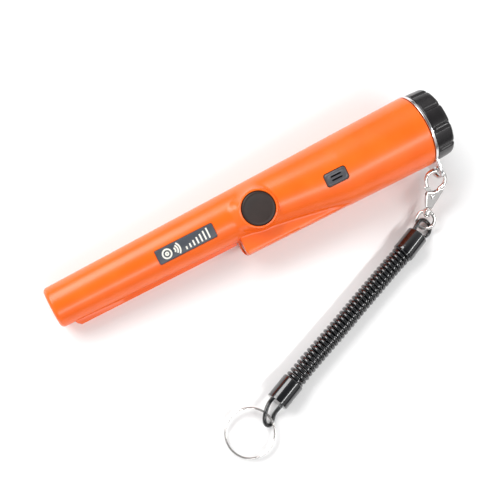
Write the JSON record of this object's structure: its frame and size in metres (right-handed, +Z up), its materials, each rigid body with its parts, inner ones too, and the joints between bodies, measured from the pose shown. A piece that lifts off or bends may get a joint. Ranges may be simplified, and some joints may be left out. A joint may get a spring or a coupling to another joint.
{
  "type": "pinpointer probe",
  "caption": "Handheld pinpointer probe with a stepped nose, side lamp keel, push button, speaker slots, screw battery cap and a clip-on curly cord lanyard.",
  "frame": {"origin": "below the middle of the probe and its clasp, on the floor it lies on", "axes": "+X from the nose to the battery cap, +Z up, -Y towards the side that the lanyard lies on"},
  "size_m": [0.228, 0.1323, 0.0419],
  "materials": {
    "orange_abs": "fine satin orange ABS",
    "black_abs": "satin black ABS",
    "button_black": "matte black",
    "grille_grey": "satin dark grey",
    "label_grey": "printed film, dark grey",
    "clear_lens": "clear, polished",
    "led_epoxy": "clear epoxy with a pale phosphor",
    "steel": "plated sheet steel",
    "chrome": "polished plating",
    "cord_black": "glossy polyurethane",
    "rubber": "matte black rubber",
    "foam": "closed-cell foam",
    "ferrite": "ground ferrite",
    "copper": "enamelled copper wire",
    "former": "natural nylon",
    "board": "green solder mask",
    "chip": "moulded black",
    "battery": "printed metal jacket",
    "red_wire": "red insulation"
  },
  "bodies": {
    "housing": {"battery_9v": "battery", "battery_lead_negative": "rubber", "battery_lead_positive": "red_wire", "battery_tray": "former", "body_shell": "orange_abs", "circuit_board": "board", "coil_former": "former", "driver_chip": "chip", "ferrite_core": "ferrite", "label_plate": "label_grey", "lanyard_collar": "steel", "led_lamp": "led_epoxy", "led_lens": "clear_lens", "processor_chip": "chip", "receive_winding": "copper", "smoothing_capacitor": "steel", "snap_connector": "chip", "speaker": "chip", "speaker_grille": "grille_grey", "tact_switch": "chip", "transmit_winding": "copper", "vibration_motor": "steel"},
    "button": {"power_button": "button_black", "button_o_ring": "rubber", "switch_plunger": "former"},
    "cap_carrier": {"cap_o_ring": "rubber"},
    "cap": {"battery_cap": "black_abs", "cap_pad": "foam"},
    "motor_rotor": {"motor_weight": "steel"},
    "clasp": {"clasp_hook": "chrome", "gate_pin": "chrome"},
    "gate": {"clasp_gate": "chrome"},
    "eye": {"swivel_eye": "chrome"},
    "lanyard": {"upper_loop": "cord_black", "upper_ferrule": "cord_black", "curly_cord": "cord_black", "lower_ferrule": "cord_black", "lower_loop": "cord_black"},
    "ring": {"key_ring": "chrome"}
  },
  "joints": [
    {"name": "button_press", "type": "slide", "parent": "housing", "child": "button", "axis": [0.124, 0.2329, -0.9646], "range_m": [0, 0.0008], "stiffness_N_per_m": 2500, "springref_m": -0.0004},
    {"name": "cap_slide", "type": "slide", "parent": "housing", "child": "cap_carrier", "axis": [0.9984, 0, 0.0561], "range_m": [0, 0.009]},
    {"name": "cap_turn", "type": "hinge", "parent": "cap_carrier", "child": "cap", "pos_m": [0.10615, 0.015, 0.02201], "axis": [0.9984, 0, 0.0561], "range_deg": [0, 1083]},
    {"name": "motor_spin", "type": "hinge", "parent": "housing", "child": "motor_rotor", "pos_m": [0.01646, 0.01776, 0.01404], "axis": [0.9984, 0, 0.0561], "continuous": true},
    {"name": "clasp_swing", "type": "hinge", "parent": "housing", "child": "clasp", "pos_m": [0.10174, -0.00949, 0.0194], "axis": [0, 0, 1], "range_deg": [-8, 25]},
    {"name": "gate_open", "type": "hinge", "parent": "clasp", "child": "gate", "pos_m": [0.09481, -0.01981, 0.01214], "axis": [0.2945, 0.4094, -0.8635], "range_deg": [0, 18], "stiffness_Nm_per_rad": 0.02, "springref_deg": -17.19},
    {"name": "eye_turn", "type": "hinge", "parent": "clasp", "child": "eye", "pos_m": [0.08964, -0.02631, 0.0073], "axis": [-0.5043, -0.701, -0.5043], "range_deg": [-3, 18]},
    {"name": "lanyard_swing", "type": "hinge", "parent": "clasp", "child": "lanyard", "pos_m": [0.088, -0.0299, 0.004], "axis": [0, 0, 1], "range_deg": [-6, 20]},
    {"name": "ring_flip", "type": "hinge", "parent": "lanyard", "child": "ring", "pos_m": [-0.041, -0.081, 0.00375], "axis": [-0.2079, 0.9781, 0], "range_deg": [0, 60]}
  ],
  "couplings": [
    {"joint": "cap_turn", "follows": "cap_slide", "rad_per_m": 2094.4}
  ]
}
